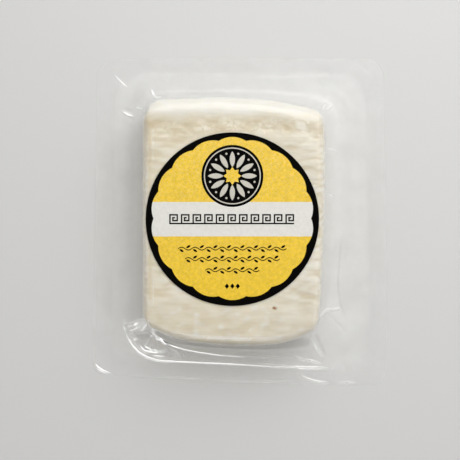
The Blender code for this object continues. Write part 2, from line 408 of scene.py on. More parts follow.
# %% Press the dips and ridges in
points = points_of(cheese)
heights = np.array([bump_at(Vector(point)) for point in points])
put_points(cheese, points + normals_of(cheese) * heights[:, None])
print("relief of the cheese:", round(1000 * (heights.max() - heights.min()), 2), "mm")

# %% [markdown]
# ## Where the cheese changes colour
#
# Painted shade makes the dips and the near end darker and browner, and a painted shadow runs
# along the left edge. The far lip is whiter, partly in itself and partly by painted highlight,
# the ridges carry painted highlight and the right side painted light. A torn band lies behind
# the lip, and its brown is partly painted shade of the trough there. These places could be
# painted by hand. Here each is a rule on where a vertex lies and
# how far it stands out, kept in the mesh as a number that the material reads, so the
# colour sits exactly in the relief.

# %% Rules for the dark, pale and torn places
LIP_START = 38.5 * MM
LIP_FADE = 4.5 * MM
LIP_WANDER = 1.5 * MM
LIP_WAVE = 9.0 * MM
VEINED_PLACE = (21.0 * MM, 29.0 * MM)
VEINED_SIZE = 8.0 * MM
VEINED_SHARE = 0.32
TORN_SHARE = 0.85
FURROW_DEPTH = 0.16 * MM
FURROW_MIDDLE = 0.12
FURROW_LEFT = 0.42
FURROW_RIGHT = 0.5
CREST_HEIGHT = 0.10 * MM
SMEAR_GRAIN = Vector((6.5, 3.2, 3.2)) * MM
PALE_LUMP_GRAIN = Vector((3.2, 2.4, 2.4)) * MM
RIGHT_LIGHT_START = 6.0 * MM
RIGHT_LIGHT_FADE = 20.0 * MM
# Start and fade of each rule towards an end, as shares of the block's half length
FURROW_END = (0.80, 0.15)
NEAR_SHADE_END = (0.60, 0.25)
PALE_NEAR_END = (0.62, 0.12)
# How strongly each place shows. The darker near end is painted shade and the dark left edge line a
# painted shadow, the paler crests are painted highlight and the paler right side painted light
NEAR_PAINTED_SHADE = 0.10
DARK_SMEAR = 0.26
EDGE_PAINTED_SHADOW = 0.45
PALE_LUMP = 0.85
PALE_STREAK = 0.75
CREST_PAINTED_HIGHLIGHT = 0.35
RIGHT_PAINTED_LIGHT = 0.52
# Lines on the top, as the two ends and the width in mm: a painted shadow along the left edge, and a
# pale streak in two parts
LEFT_SHADOW_LINE = ((-32.3, 34.0), (-32.0, -30.0), 1.1)
STREAK_LINE = ((11.2, -33.4), (15.2, -37.4), 1.5)
STREAK_END_LINE = ((15.2, -37.4), (20.5, -42.0), 2.4)


def near_segment(local, start, end, width):
    """1 on the straight line between two points of the top, in mm, falling to 0 at this width."""
    start = Vector(start) * MM
    line = Vector(end) * MM - start
    from_start = local.xy - start
    share = clamp(from_start.dot(line) / line.length_squared, 0.0, 1.0)
    return smooth_step(1.0 - (from_start - share * line).length / (width * MM))


def towards(share, place):
    """0 before the start of this end of the block, 1 past its fade."""
    start, fade = place
    return smooth_step((share - start) / fade)


def lip_at(local):
    """1 on the plump far lip, which was the outside of the cheese. Its white is partly its own and
    partly painted highlight, where it faces the light.
    """
    wander = LIP_WANDER * noise.noise(Vector((local.x / LIP_WAVE, 2.0, 0.0)))
    return smooth_step((local.y - LIP_START - wander) / LIP_FADE)


def torn_at(local):
    """Where the surface is torn: behind the far lip, and more faintly at the far right. Behind the lip
    its brown is partly painted shade of the trough there.
    """
    away = (local.xy - Vector(VEINED_PLACE)).length / VEINED_SIZE
    veined = VEINED_SHARE * math.exp(-(away**2))
    return max(TORN_SHARE * tear_at(local.x, local.y), veined) * (1.0 - lip_at(local))


def shade_and_brown_at(local, height):
    """0 on plump cheese, up to 1 where it is darker and more yellow: painted shade in the dips and, in
    smears, towards the near end, and a painted shadow along the left edge.
    """
    along = local.y / Y_RANGE[1]
    side = side_at(local) * smooth_step((FURROW_END[0] - abs(along)) / FURROW_END[1])
    side *= FURROW_RIGHT if local.x > 0 else FURROW_LEFT
    furrow = smooth_step(0.35 - height / FURROW_DEPTH) * (FURROW_MIDDLE + side)
    edge = EDGE_PAINTED_SHADOW * near_segment(local, *LEFT_SHADOW_LINE)
    smear = smooth_step(0.5 + 1.8 * grain(local, SMEAR_GRAIN, 47.0))
    near = (NEAR_PAINTED_SHADE + DARK_SMEAR * smear) * towards(-along, NEAR_SHADE_END)
    return max(furrow * (1.0 - lip_at(local)), edge, near)


def pale_and_lit_at(local, height):
    """Up to 1 where the cheese is paler: the far lip, partly painted highlight, painted highlight on
    the ridges, painted light on the right side, and milky lumps and a streak towards the near end.
    """
    near = towards(-local.y / Y_RANGE[1], PALE_NEAR_END)
    lumps = smooth_step(2.6 * grain(local, PALE_LUMP_GRAIN, 31.0) - 0.25)
    streak = near_segment(local, *STREAK_LINE)
    streak = max(streak, 0.8 * near_segment(local, *STREAK_END_LINE))
    crest = CREST_PAINTED_HIGHLIGHT * smooth_step(height / CREST_HEIGHT - 0.1)
    right = RIGHT_PAINTED_LIGHT * smooth_step((local.x - RIGHT_LIGHT_START) / RIGHT_LIGHT_FADE)
    return max(lip_at(local), PALE_LUMP * near * lumps, PALE_STREAK * streak, crest, right)


# %% Keep the colour's places in the mesh
points = [Vector(point) - BLOCK_CENTRE - PACK_SHIFT for point in points_of(cheese)]
places = {
    "dark": [shade_and_brown_at(local, height) for local, height in zip(points, heights)],
    "pale": [pale_and_lit_at(local, height) for local, height in zip(points, heights)],
    "torn": [torn_at(local) for local in points],
}
for name, values in places.items():
    attribute(cheese, name, values)
    print(name, "places:", round(100 * np.mean(values)), "% on average")
smooth(cheese, 60)
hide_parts("halloumi_block")
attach(cheese, "root")

# %% [markdown]
# ## What the cheese is made of
#
# The colour is ivory, and browner in the dips and at the near end, which is painted shade. It is
# paler where highlight and light are painted on the far lip, the ridges and the right side.
# Ragged patches and thin cracks break up the torn band, whose brown is partly painted shade,
# and one brown fleck lies towards the near end. Light goes a few millimetres into the
# cheese, so it has subsurface scattering, which also keeps its shadows warm. The bump carries
# the lines that are too fine for the mesh.

# %% Helpers for materials
def blank_material(name):
    """A material with only its output, and a function that adds nodes to it."""
    material = bpy.data.materials.new(name)
    material.use_nodes = True
    tree = material.node_tree
    tree.nodes.clear()
    output = tree.nodes.new("ShaderNodeOutputMaterial")

    def add(kind, inputs=None, **settings):
        made = tree.nodes.new("ShaderNode" + kind)
        for key, value in settings.items():
            setattr(made, key, value)
        for key, value in (inputs or {}).items():
            if isinstance(value, bpy.types.NodeSocket):
                tree.links.new(value, made.inputs[key])
            else:
                made.inputs[key].default_value = value
        return made

    def finish(shader):
        tree.links.new(shader, output.inputs["Surface"])
        print("material:", name, "with", len(tree.nodes), "nodes")
        return material

    return add, finish


def dress(piece, *materials):
    piece.data.materials.clear()
    for material in materials:
        piece.data.materials.append(material)


def kept_numbers(add, *names):
    """What the mesh keeps under these names."""
    return [add("Attribute", attribute_name=name).outputs["Fac"] for name in names]


def work_out(add, operation, *values):
    return add("Math", dict(enumerate(values)), operation=operation).outputs[0]


def mix(add, share, first, second, **settings):
    inputs = {"Fac": share, "Color1": first, "Color2": second}
    return add("MixRGB", inputs, **settings).outputs[0]


def grey(tone):
    return (tone, tone, tone)


def ramp(add, factor, *stops):
    """A colour ramp from pairs of position and colour."""
    made = add("ValToRGB", {"Fac": factor})
    elements = made.color_ramp.elements
    while len(elements) < len(stops):
        elements.new(0.5)
    for element, (position, colour) in zip(elements, stops):
        element.position = position
        element.color = colour if len(colour) == 4 else (*colour, 1.0)
    return made.outputs["Color"]


# %% The cheese's material
IVORY = (0.75, 0.685, 0.545)
PALE_IVORY = (0.81, 0.755, 0.63)
MILK_AND_HIGHLIGHT = (0.83, 0.81, 0.75, 1.0)
BROWN_AND_SHADE = (0.60, 0.51, 0.34, 1.0)
LINE_TINT = (0.95, 0.94, 0.905)
FLECK_BROWN = (0.30, 0.14, 0.035, 1.0)
FLECK = Vector((14.4 * MM, -31.8 * MM, 23.6 * MM))
FLECK_SIZE = 1.0 * MM
# Scales of the noises. A scale of 100 gives patches of about a centimetre.
CLOUD_SCALE = 70.0
RAG_SCALE = 200.0
CRACK_SCALE = 260.0
CURD_SCALE = 420.0
LINE_SCALES = (190.0, 900.0, 600.0)
# How far a noise bends the pattern laid over it
CRACK_BEND = 0.006
FLECK_BEND = 0.0026
DIP_BUMP = -0.8
BUMP_HEIGHT = 0.2 * MM
LIGHT_DEPTH = 2.0 * MM


def cheese_material():
    add, finish = blank_material("halloumi")
    place = add("TexCoord").outputs["Object"]
    dark, pale, torn = kept_numbers(add, "dark", "pale", "torn")

    def noise_at(vector, scale, detail):
        return add("TexNoise", {"Vector": vector, "Scale": scale, "Detail": detail})

    # Ivory in soft clouds, paler where the mesh says so: milky lumps, and painted highlight and light
    # on the far lip, the ridges and the right side
    cloud = noise_at(place, CLOUD_SCALE, 3.0).outputs["Fac"]
    white = ramp(add, cloud, (0.30, IVORY), (0.70, PALE_IVORY))
    skin = mix(add, pale, white, MILK_AND_HIGHLIGHT)
    # Ragged patches and cracks where it is torn, and brown in the dips. The brown is painted shade in
    # the dips, at the near end and at the left edge, and partly in the torn band
    flat = add("Mapping", {"Vector": place, "Scale": (1.0, 1.5, 1.0)}).outputs[0]
    rags = noise_at(flat, RAG_SCALE, 5.0)
    patch = ramp(add, rags.outputs["Fac"], (0.40, grey(0.0)), (0.64, grey(1.0)))
    bent = mix(add, CRACK_BEND, place, rags.outputs["Color"])
    cells = add("TexVoronoi", {"Vector": bent, "Scale": CRACK_SCALE}, feature="DISTANCE_TO_EDGE")
    crack = ramp(add, cells.outputs["Distance"], (0.0, grey(0.9)), (0.10, grey(0.0)))
    ragged = mix(add, 1.0, patch, crack, blend_type="LIGHTEN")
    dip = work_out(add, "MAXIMUM", work_out(add, "MULTIPLY", ragged, torn), dark)
    tone = mix(add, dip, skin, BROWN_AND_SHADE)
    # Fine pressed lines
    stretched = add("Mapping", {"Vector": place, "Scale": LINE_SCALES}).outputs[0]
    lines = noise_at(stretched, 1.0, 3.0).outputs["Fac"]
    fine = ramp(add, lines, (0.30, LINE_TINT), (0.62, grey(1.0)))
    mixed = mix(add, 1.0, tone, fine, blend_type="MULTIPLY")
    # The fleck, with its edge broken up by the curd
    curd = noise_at(place, CURD_SCALE, 4.0)
    moved = mix(add, FLECK_BEND, place, curd.outputs["Color"])
    away = add("VectorMath", {0: moved, 1: FLECK}, operation="DISTANCE").outputs["Value"]
    share = work_out(add, "DIVIDE", away, FLECK_SIZE)
    spot = ramp(add, share, (0.35, grey(0.95)), (1.0, grey(0.0)))
    colour = mix(add, spot, mixed, FLECK_BROWN)
    # The lines and the curd stand up a little, and the dips lie lower
    grains = work_out(add, "ADD", lines, curd.outputs["Fac"])
    sunken = work_out(add, "MULTIPLY_ADD", dip, DIP_BUMP, grains)
    bump = add("Bump", {"Height": sunken, "Strength": 0.4, "Distance": BUMP_HEIGHT})
    shader = add("BsdfPrincipled", {
        "Base Color": colour,
        "Roughness": 0.5,
        "Specular IOR Level": 0.35,
        "Subsurface Weight": 0.3,
        "Subsurface Radius": (1.0, 0.7, 0.4),
        "Subsurface Scale": LIGHT_DEPTH,
        "Normal": bump.outputs[0],
    })
    return finish(shader.outputs[0])


dress(cheese, cheese_material())

# %% [markdown]
# ## The upper film
#
# The film was formed to a pocket and then sucked down over the cheese. It clings to the top
# and the sides, comes down to the ground in a short slope, crosses a rolled line where
# the pocket ended and runs flat to the cut edge, where the two films are sealed. A cloth
# simulation could drape it, but its folds would fall where they like. Here the sheet is a box
# with a long skirt, and a rule lays each row of the skirt in its place.

# %% Sizes of the pack
PACK_WIDTH = 118.0 * MM
PACK_CORNER = 8.0 * MM
PACK_TAPER = 0.03
NEAR_SKEW = 5.0 * MM
NEAR_EDGE_BOW = 1.1 * MM
NEAR_LEFT_CORNER = 4.5 * MM
FLANGE_WIDTH = 10.0 * MM
END_SHARE = 0.78
RIM_CORNER = 14.0 * MM
RIM_ROLL = 1.8 * MM
RIM_HEIGHT = 0.12 * MM
RIM_PROFILE = ((1.0, 0.0), (0.5, 0.6), (0.0, 1.0), (-0.5, 0.6), (-1.0, 0.0))
FLANGE_ROWS = (0.6, 0.3, 0.05, 0.0)
WEB_ROWS = (0.35, 0.7)
SEALED_SHARE = 0.8
CURL_NEAR = 2.2 * MM
CURL_FAR = 0.8 * MM
CURL_START = 1.70
CURL_POWER = 3.5
LEAVE_HEIGHT = 7.0 * MM
FLARE_SHARE = 0.55
FLARE_STEPS = 4
FLARE_POWER = 2.0
FILM_GROWN = 0.42 * MM
FILM_LEVEL = 0.30 * MM
FILM_THICKNESS = 0.14 * MM
PLY_STEP = 0.7 * MM
SKIRT_STEP = 10.0 * MM
print("cut edge", round(1000 * PACK_WIDTH), "by", round(1000 * PACK_LENGTH), "mm")


# %% The rule for the pack's outline
def curl(x, y):
    """How far both films lift off the ground here, which they do only at the corners."""
    out = abs(x) / (PACK_WIDTH / 2) + abs(y) / (PACK_LENGTH / 2)
    share = clamp((out - CURL_START) / (2.0 - CURL_START), 0.0, 1.0)
    return (CURL_NEAR if y < 0 else CURL_FAR) * share**CURL_POWER


def pack_point(u, v, inset):
    """A point of the pack's outline set in by this much. u and v go round a square of -1 to 1."""
    half_x = PACK_WIDTH / 2 - inset
    half_y = PACK_LENGTH / 2 - inset * END_SHARE
    inward = min(1.0, inset / FLANGE_WIDTH)
    cut_corner = NEAR_LEFT_CORNER if u < 0 and v < 0 else PACK_CORNER
    corner = cut_corner + (RIM_CORNER - cut_corner) * inward
    core_x = clamp(u * half_x, corner - half_x, half_x - corner)
    core_y = clamp(v * half_y, corner - half_y, half_y - corner)
    beyond = Vector((u * half_x - core_x, v * half_y - core_y))
    if beyond.length > 0:
        beyond.normalize()
    x = core_x + beyond.x * corner
    y = core_y + beyond.y * corner
    x *= 1.0 - PACK_TAPER * (y / half_y + 1.0) / 2
    near = clamp(-y / half_y, 0.0, 1.0)
    y += NEAR_SKEW * near * (1.0 - x / half_x) / 2
    y -= NEAR_EDGE_BOW * near * (1.0 - (x / half_x) ** 2) * (1.0 - inward)
    return Vector((x, y, curl(x, y))) + PACK_SHIFT


for u, v in ((-1, -1), (1, -1), (1, 1), (-1, 1)):
    print("corner of the pack:", [round(1000 * c, 1) for c in pack_point(u, v, 0.0)], "mm")


# %% Rows of the skirt, from the block outwards
def film_rows():
    """The rows in turn: the kind of each, how far out it lies, and how high above the ground."""
    flare = [("flare", i / FLARE_STEPS, 0.0) for i in range(1, FLARE_STEPS + 1)]
    web = [("web", share, 0.0) for share in WEB_ROWS]
    rim = [("edge", FLANGE_WIDTH + side * RIM_ROLL, up * RIM_HEIGHT) for side, up in RIM_PROFILE]
    flange = [("edge", FLANGE_WIDTH * share + PLY_STEP, 0.0) for share in FLANGE_ROWS]
    return flare + web + rim + flange


def skirt_point(point, row):
    """A point of the loose film: its u and v say where round the pack, the row how far out."""
    u = point.x / X_RANGE[1]
    v = point.y / Y_RANGE[1]
    kind, amount, lift = row
    if kind == "edge":
        return pack_point(u, v, amount) + Vector((0.0, 0.0, FILM_LEVEL + lift))
    leave = block_point(Vector((point.x, point.y, LEAVE_HEIGHT)), FILM_GROWN)
    rim = pack_point(u, v, FLANGE_WIDTH + RIM_ROLL)
    if kind == "web":
        place = leave.lerp(rim, FLARE_SHARE + (1.0 - FLARE_SHARE) * amount)
        place.z = FILM_LEVEL
        return place
    place = leave.lerp(rim, FLARE_SHARE * amount)
    place.z = FILM_LEVEL + (leave.z - FILM_LEVEL) * (1.0 - amount) ** FLARE_POWER
    return place


# %% Lay out the upper film
FILM_SPACING = 2.8 * MM
WALL_CUT = 11.0 * MM


def open_bottom(piece, level):
    """Takes the bottom off a box, which makes it a sheet."""
    limit = level + SKIRT_STEP / 4
    delete_faces(piece, [face.center.z < limit for face in piece.data.polygons])


rows = film_rows()
hem = LEAVE_HEIGHT - SKIRT_STEP * len(rows)
z_cuts = [LEAVE_HEIGHT - SKIRT_STEP * i for i in range(len(rows))]
z_cuts += [WALL_CUT] + [cut for cut in round_cuts(Z_RANGE, Z_ROUNDS) if cut > LEAVE_HEIGHT]
upper_film = cut_box("upper_film", hem, Z_RANGE[1], FILM_SPACING, z_cuts)
open_bottom(upper_film, hem)
sealed = []
for vertex in upper_film.data.vertices:
    if vertex.co.z > LEAVE_HEIGHT - SKIRT_STEP / 4:
        vertex.co = block_point(vertex.co, FILM_GROWN)
        sealed.append(0.0)
    else:
        row = rows[round((LEAVE_HEIGHT - vertex.co.z) / SKIRT_STEP) - 1]
        vertex.co = skirt_point(vertex.co, row)
        sealed.append(float(row[0] == "edge" and row[1] < SEALED_SHARE * FLANGE_WIDTH))
attribute(upper_film, "sealed", sealed)
make_finer(upper_film, 2)
print(len(rows), "rows of skirt")
say(upper_film)

# %% [markdown]
# ## Folds in the film
#
# Where the pocket was larger than the block, the spare film lies in sharp little folds. They
# catch the light as thin white lines, and film goes milky where it is creased or doubled. They
# tell the eye that there is film at all. The white of the creases is partly this milkiness and
# partly painted highlight, and the milky places without height are painted highlight where the
# film mirrors light. Each fold is a line drawn on the pack. The mesh is cut finer along the
# lines, and every vertex near a line is lifted to a ridge, or pressed to a furrow where the
# height is negative. A line of no height stays flat and is only painted pale. On the steep wall
# round the block the folds' paleness and gloss fade, because there the film is stretched tight.

# %% Where the folds lie
# Each fold: its width and height in mm, how pale its crease is, and the points of its line in mm
FOLDS = (
    # the pocket's edge round the near left corner and along the near end
    (1.3, 0.42, 0.85, ((-46.4, -39.5), (-46.0, -42.3), (-44.8, -45.1), (-42.8, -48.7), (-40.0, -51.7),
                       (-36.8, -53.6), (-32.9, -54.8), (-26.1, -55.2), (-4.2, -56.2), (21.7, -57.8))),
    (2.4, 0.30, 1.00, ((-44.4, -45.0), (-42.4, -48.4), (-39.8, -51.2), (-36.8, -53.2), (-33.0, -54.4),
                       (-28.0, -54.9))),
    (1.0, 0.35, 1.00, ((15.0, -57.3), (20.5, -57.7), (25.5, -58.2), (35.2, -58.3))),
    # the line where the film leaves the block's near end
    (1.1, 0.42, 0.80, ((-34.8, -44.3), (-32.9, -45.9), (-30.1, -47.9), (-27.3, -49.1), (-22.5, -50.5),
                       (-16.1, -51.7), (-7.4, -52.9), (0.8, -53.4))),
    (1.1, 0.22, 0.45, ((-4.0, -53.1), (3.8, -53.6), (12.0, -53.8), (19.7, -54.0))),
    (0.9, 0.10, 1.60, ((-35.4, -43.6), (-34.2, -45.0), (-32.4, -46.5), (-30.1, -47.9), (-27.3, -49.1),
                       (-24.4, -50.0))),
    (0.9, 0.30, 0.35, ((21.3, -53.6), (24.5, -54.8), (28.4, -55.4), (32.4, -57.0))),
    # the fan at the near left corner
    (4.2, 1.10, 0.60, ((-38.4, -46.8), (-34.6, -49.8), (-28.5, -51.4))),
    (2.6, 0.02, 0.90, ((-43.2, -45.0), (-39.8, -49.6), (-34.8, -52.6), (-29.0, -53.6))),
    (0.9, 0.28, 0.85, ((-35.2, -44.9), (-36.4, -47.5), (-38.0, -50.2))),
    (0.8, 0.24, 0.80, ((-35.2, -47.0), (-35.4, -49.4), (-35.8, -51.8))),
    (0.8, 0.24, 0.85, ((-34.2, -46.8), (-33.6, -49.2), (-33.0, -52.2))),
    (0.9, 0.28, 0.90, ((-33.8, -45.7), (-32.0, -48.7), (-29.9, -51.4))),
    (0.9, 0.28, 0.70, ((-31.6, -47.4), (-29.0, -49.4), (-25.9, -51.3), (-23.9, -52.9), (-22.7, -54.4))),
    (1.0, 0.35, 0.70, ((-39.8, -48.8), (-38.2, -50.9), (-36.0, -51.4), (-33.6, -51.9))),
    (0.8, 0.30, 0.55, ((-37.6, -49.6), (-35.4, -50.6), (-32.1, -51.0))),
    (0.8, 0.30, 0.50, ((-37.8, -52.2), (-34.6, -53.0), (-30.4, -53.3))),
    # the gathered film left of the fan
    (3.2, 0.60, 0.70, ((-42.8, -41.2), (-38.8, -40.2), (-35.8, -41.6))),
    (1.8, 0.60, 0.75, ((-45.8, -41.6), (-43.0, -40.6), (-40.4, -39.5), (-38.0, -38.7), (-36.2, -39.3),
                       (-34.6, -41.6))),
    (1.6, 0.55, 0.90, ((-40.4, -41.3), (-38.2, -39.9), (-36.4, -40.4), (-34.6, -42.0), (-34.0, -43.8))),
    (1.3, 0.50, 0.70, ((-44.6, -43.2), (-42.0, -42.5), (-39.6, -41.5), (-37.8, -40.4))),
    (1.0, 0.45, 1.90, ((-39.2, -43.2), (-37.6, -41.2), (-36.2, -39.4))),
    (1.0, 0.45, 1.90, ((-36.6, -39.6), (-35.4, -41.4), (-34.6, -43.6))),
    (1.3, -0.50, 0.00, ((-42.6, -46.4), (-40.0, -45.4), (-38.0, -44.0), (-36.6, -44.6))),
    # painted highlight: milky film under the fan, right of it and in the gathers, where the film
    # mirrors light
    (4.2, 0.0, 0.80, ((-37.2, -47.2), (-33.8, -49.4), (-29.0, -51.2))),
    (2.8, 0.0, 0.42, ((-30.0, -53.0), (-21.5, -53.8))),
    (3.6, 0.0, 0.90, ((-44.0, -41.6), (-39.6, -41.0), (-35.8, -42.0))),
    # far left corner
    (0.6, 0.20, 0.75, ((-50.0, 58.0), (-47.6, 55.6), (-45.0, 53.2))),
    (0.9, 0.40, 0.95, ((-35.6, 52.4), (-34.8, 50.4), (-33.3, 49.2), (-31.3, 49.4))),
    (0.9, 0.30, 0.80, ((-47.2, 43.7), (-45.2, 42.5), (-42.8, 41.7))),
    (1.1, -0.40, 0.00, ((-46.0, 45.0), (-43.4, 43.9))),
    (0.7, 0.30, 0.60, ((-41.6, 45.7), (-38.8, 44.7))),
    (2.4, -0.40, 0.00, ((-43.0, 46.8), (-40.8, 50.0), (-38.0, 55.0))),
    # far right corner
    (0.8, 0.35, 0.60, ((32.4, 44.9), (34.0, 47.0))),
    (0.8, 0.35, 0.60, ((33.6, 44.1), (36.4, 46.3))),
    (2.6, 0.12, 0.20, ((35.6, 52.4), (38.8, 50.8), (41.6, 48.4), (43.6, 44.9), (45.2, 38.5))),
    (1.2, 0.08, 0.12, ((46.7, 62.4), (48.7, 60.0), (50.7, 57.6))),
    # right side
    (0.8, 0.35, 0.85, ((33.2, 28.7), (35.6, 28.9), (38.0, 27.9))),
    (0.8, 0.30, 0.60, ((33.6, 11.0), (37.2, 9.8))),
    (1.0, -0.25, 0.00, ((40.0, -7.3), (38.8, -25.2), (39.6, -32.0), (41.6, -37.5))),
    # near right corner
    (1.4, 0.50, 0.95, ((30.6, -37.9), (32.0, -36.9), (33.2, -35.5), (34.8, -34.9), (39.0, -34.9))),
    (0.9, 0.10, 0.90, ((33.6, -35.3), (35.2, -34.9), (38.6, -34.9))),
    (1.2, -0.45, 0.00, ((35.6, -35.9), (38.0, -39.5), (40.8, -42.7))),
    (0.9, 0.10, 0.18, ((36.0, -40.7), (39.6, -42.3), (43.6, -44.3))),
    (0.9, 0.30, 0.55, ((27.6, -44.7), (28.8, -47.1), (30.8, -50.7), (32.4, -53.8), (32.8, -55.0))),
    (1.0, -0.40, 0.00, ((30.0, -45.9), (31.6, -49.5), (33.6, -53.0))),
    # the seal at the near right and near left corners
    (0.7, 0.25, 0.65, ((22.5, -60.2), (25.3, -62.0), (28.4, -63.2), (31.6, -63.8), (35.2, -64.2))),
    (0.9, 0.20, 0.35, ((38.8, -64.0), (42.8, -64.2), (45.9, -64.4))),
    (0.9, 0.32, 1.00, ((-58.2, -56.6), (-57.0, -58.0), (-54.8, -59.5), (-51.8, -60.7))),
    # the near edge of the seal
    (0.6, 0.15, 0.42, ((-16.0, -63.3), (-2.2, -63.9), (8.5, -64.3), (21.0, -64.8))),
    (0.6, 0.12, 0.30, ((-36.0, -61.9), (-25.0, -62.2), (-18.0, -62.4), (-9.0, -62.2))),
    (0.6, 0.12, 0.25, ((4.0, -62.9), (13.0, -63.3), (21.7, -63.8))),
    (0.6, 0.05, 0.14, ((-57.0, 40.0), (-57.9, 0.0), (-58.0, -48.0))),
    # the taut film over the block's near edge, painted pale as a highlight where it mirrors light
    (1.6, 0.0, 0.34, ((-28.0, -43.0), (-24.1, -43.8), (-16.1, -44.5), (-4.2, -45.1), (8.5, -45.3),
                      (18.0, -45.2))),
    # the film pressed to the block's left edge
    (1.1, 0.1, 0.28, ((-36.6, 37.0), (-36.5, 10.0), (-36.6, -34.0))),
    (0.6, 0.1, 0.20, ((-33.9, 36.0), (-33.8, 22.0))),
    (0.6, 0.1, 0.22, ((-33.8, -20.0), (-33.9, -33.0))),
    # the inner edge of the seal
    (0.7, 0.12, 0.16, ((-50.2, 33.0), (-50.4, -35.0))),
    (0.7, 0.12, 0.12, ((6.0, 57.4), (25.0, 57.4))),
    (0.7, 0.12, 0.12, ((48.8, 28.0), (48.2, -12.0))),
)

# The same for painted shade: places where the film lies deep and steep, which are painted grey as the
# shade that falls there. The third number is how grey
PAINTED_SHADE_LINES = (
    (3.4, 0.0, 1.00, ((-33.0, -45.6), (-24.1, -47.0), (-16.1, -48.0), (-0.2, -48.9), (11.7, -49.2),
                      (25.5, -47.8))),
    (1.8, 0.0, 0.60, ((-41.5, -45.8), (-39.0, -46.0), (-36.8, -45.8))),
    (3.6, 0.0, 0.16, ((-44.5, 45.0), (-41.0, 50.0), (-39.5, 54.0))),
    (1.2, 0.0, 0.25, ((-46.0, 45.2), (-43.4, 44.3))),
    (1.2, 0.0, 0.42, ((30.4, -45.2), (31.8, -48.6), (33.8, -52.6))),
    (1.0, 0.0, 0.22, ((35.2, -36.3), (38.0, -39.5), (41.6, -42.9))),
    (0.7, 0.0, 0.30, ((40.0, -7.3), (38.8, -25.2), (39.6, -32.0), (41.6, -37.5))),
)
print(len(FOLDS), "folds and milky places,", len(PAINTED_SHADE_LINES), "deep places")


# %% How a line becomes a fold
def distance_to_line(points, line):
    """For each point, its distance to a bent line and how far along the line it is, 0 to 1."""
    line = np.array(line) * MM
    lengths = np.linalg.norm(np.diff(line, axis=0), axis=1)
    starts = np.concatenate(([0.0], np.cumsum(lengths)))
    best = np.full(len(points), np.inf)
    along = np.zeros(len(points))
    for a, b, length, start in zip(line[:-1], line[1:], lengths, starts):
        t = np.clip(((points - a) @ (b - a)) / length**2, 0.0, 1.0)
        away = np.linalg.norm(points - (a + t[:, None] * (b - a)), axis=1)
        nearer = away < best
        best[nearer] = away[nearer]
        along[nearer] = (start + t[nearer] * length) / starts[-1]
    return best, along


def fold_shapes(points, folds):
    """Height and paleness of all these folds at these points, seen from above."""
    height = np.zeros(len(points))
    paleness = np.zeros(len(points))
    for width, top, pale, line in folds:
        away, along = distance_to_line(points, line)
        ridge = 0.5 + 0.5 * np.cos(np.pi * np.clip(away / (width * MM), 0.0, 1.0))
        taper = np.sin(np.pi * np.clip(along, 0.04, 0.96)) ** 0.35
        height += top * MM * ridge * taper
        paleness = np.maximum(paleness, pale * np.clip(1.5 * ridge, 0.0, 1.0) ** 1.5 * taper)
    return height, paleness


# %% Cut the film finer along the folds
FOLD_MARGIN = 0.25 * MM

nearest = np.full(len(upper_film.data.polygons), np.inf)
centres = np.array([face.center[:2] for face in upper_film.data.polygons])
for width, height, pale, line in FOLDS:
    nearest = np.minimum(nearest, distance_to_line(centres, line)[0] - width * MM)
edit_faces(upper_film, nearest < FOLD_MARGIN)
bpy.ops.mesh.subdivide(number_cuts=1)
done()
say(upper_film)

# %% Raise the folds
CLING_HEIGHT = 6.0 * MM
CLING_START = 0.4
WAVE_HEIGHT = 0.22 * MM
WAVE_SIZE = 13.0 * MM
WAVE_SHIFT = 0.2
FILM_LOWEST = 0.2 * MM
# the cut edge is painted pale, as the highlight it catches
EDGE_PAINTED_HIGHLIGHT = 0.35
WALL_TILT = 0.45
WALL_SHARE = 0.2


def border_of(piece):
    """The vertices along the open edge of a sheet."""
    edge_of_loop = np.empty(len(piece.data.loops), dtype=np.int32)
    piece.data.loops.foreach_get("edge_index", edge_of_loop)
    uses = np.bincount(edge_of_loop, minlength=len(piece.data.edges))
    ends = np.empty(2 * len(piece.data.edges), dtype=np.int32)
    piece.data.edges.foreach_get("vertices", ends)
    return np.unique(ends.reshape(-1, 2)[uses == 1])


ruffled = points_of(upper_film)
clinging = np.clip(ruffled[:, 2] / CLING_HEIGHT - CLING_START, 0.0, 1.0)
outward = normals_of(upper_film)
heights = np.array([bump_at(Vector(point)) for point in ruffled]) * clinging
ruffled += outward * heights[:, None]
folds, paleness = fold_shapes(ruffled[:, :2], FOLDS)
# painted shade: how grey the film is painted where it lies deep and steep
painted_shade = fold_shapes(ruffled[:, :2], PAINTED_SHADE_LINES)[1]
creases = fold_shapes(ruffled[:, :2], [fold for fold in FOLDS if fold[1] > 0])[1]
off_wall = np.clip(outward[:, 2] / WALL_TILT, WALL_SHARE, 1.0)
paleness *= off_wall
creases *= off_wall
waves = np.array([noise.noise(Vector(point) / WAVE_SIZE) + WAVE_SHIFT for point in ruffled])
ruffled[:, 2] += folds + WAVE_HEIGHT * np.clip(waves, 0.0, 1.0) * (1.0 - clinging)
ruffled[:, 2] = np.maximum(ruffled[:, 2], FILM_LOWEST)
put_points(upper_film, ruffled)
# painted highlight along the cut edge
paleness[border_of(upper_film)] = EDGE_PAINTED_HIGHLIGHT
attribute(upper_film, "clinging", clinging)
attribute(upper_film, "paleness", paleness)
attribute(upper_film, "painted_shade", painted_shade)
attribute(upper_film, "crease", creases)
print("deepest fold", round(1000 * -folds.min(), 2), "mm, highest", round(1000 * folds.max(), 2), "mm")


# %% Turn the cut edge down, as thick as the film is
def turn_edge_down(piece):
    edit(piece, "EDGE")
    bpy.ops.mesh.select_non_manifold()
    bpy.ops.mesh.extrude_region_move(TRANSFORM_OT_translate={"value": (0.0, 0.0, -FILM_THICKNESS)})
    done()


turn_edge_down(upper_film)
smooth(upper_film, 60)
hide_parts("formed_film")
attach(upper_film, "root")
say(upper_film)

# %% [markdown]
# ## The backing film
#
# The lower film is flat. It is the flange's own outline again, on the ground, and lifts
# with the flange at the corners.

